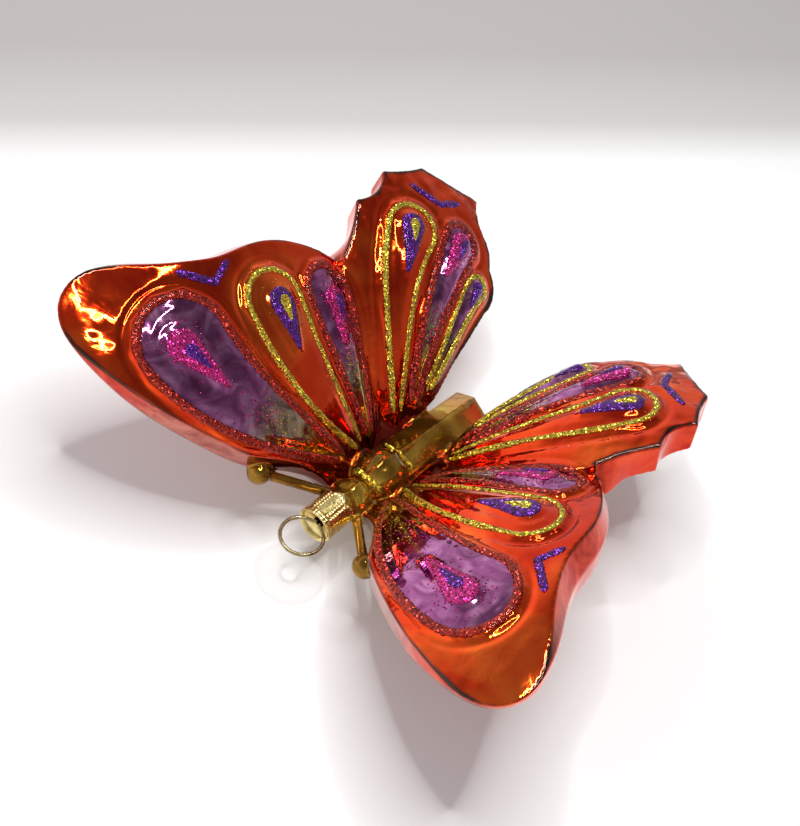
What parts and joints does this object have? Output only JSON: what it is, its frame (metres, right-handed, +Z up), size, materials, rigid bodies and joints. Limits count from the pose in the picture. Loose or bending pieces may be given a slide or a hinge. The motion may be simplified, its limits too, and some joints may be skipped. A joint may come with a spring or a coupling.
{
  "type": "butterfly ornament",
  "caption": "Hanging glass butterfly with raised wings, teardrop cells and eyespots, a metal crown cap on the neck and a turning wire loop.",
  "frame": {"origin": "on the surface that the belly stands on, under the middle of the wings", "axes": "+X across the wings, -Y towards the head and the cap, +Z up out of the wings' upper faces"},
  "size_m": [0.1624, 0.1438, 0.0631],
  "materials": {
    "lacquered_glass": "gloss lacquer over silvered glass",
    "gold_cap": "bright stamped",
    "wire": "bright drawn",
    "magenta_glitter": "glitter",
    "purple_glitter": "glitter"
  },
  "bodies": {
    "shell": {"glass_shell": "lacquered_glass", "magenta_eyespots": "magenta_glitter", "purple_eyespots": "purple_glitter"},
    "cap": {"cap": "gold_cap"},
    "hanger": {"hanger_wire": "wire"}
  },
  "joints": [
    {"name": "cap_pull", "type": "slide", "parent": "shell", "child": "cap", "axis": [0, -1, 0], "range_m": [0, 0.028]},
    {"name": "loop_turn", "type": "hinge", "parent": "cap", "child": "hanger", "pos_m": [0, -0.041, 0.0165], "axis": [0, -1, 0], "continuous": true}
  ]
}
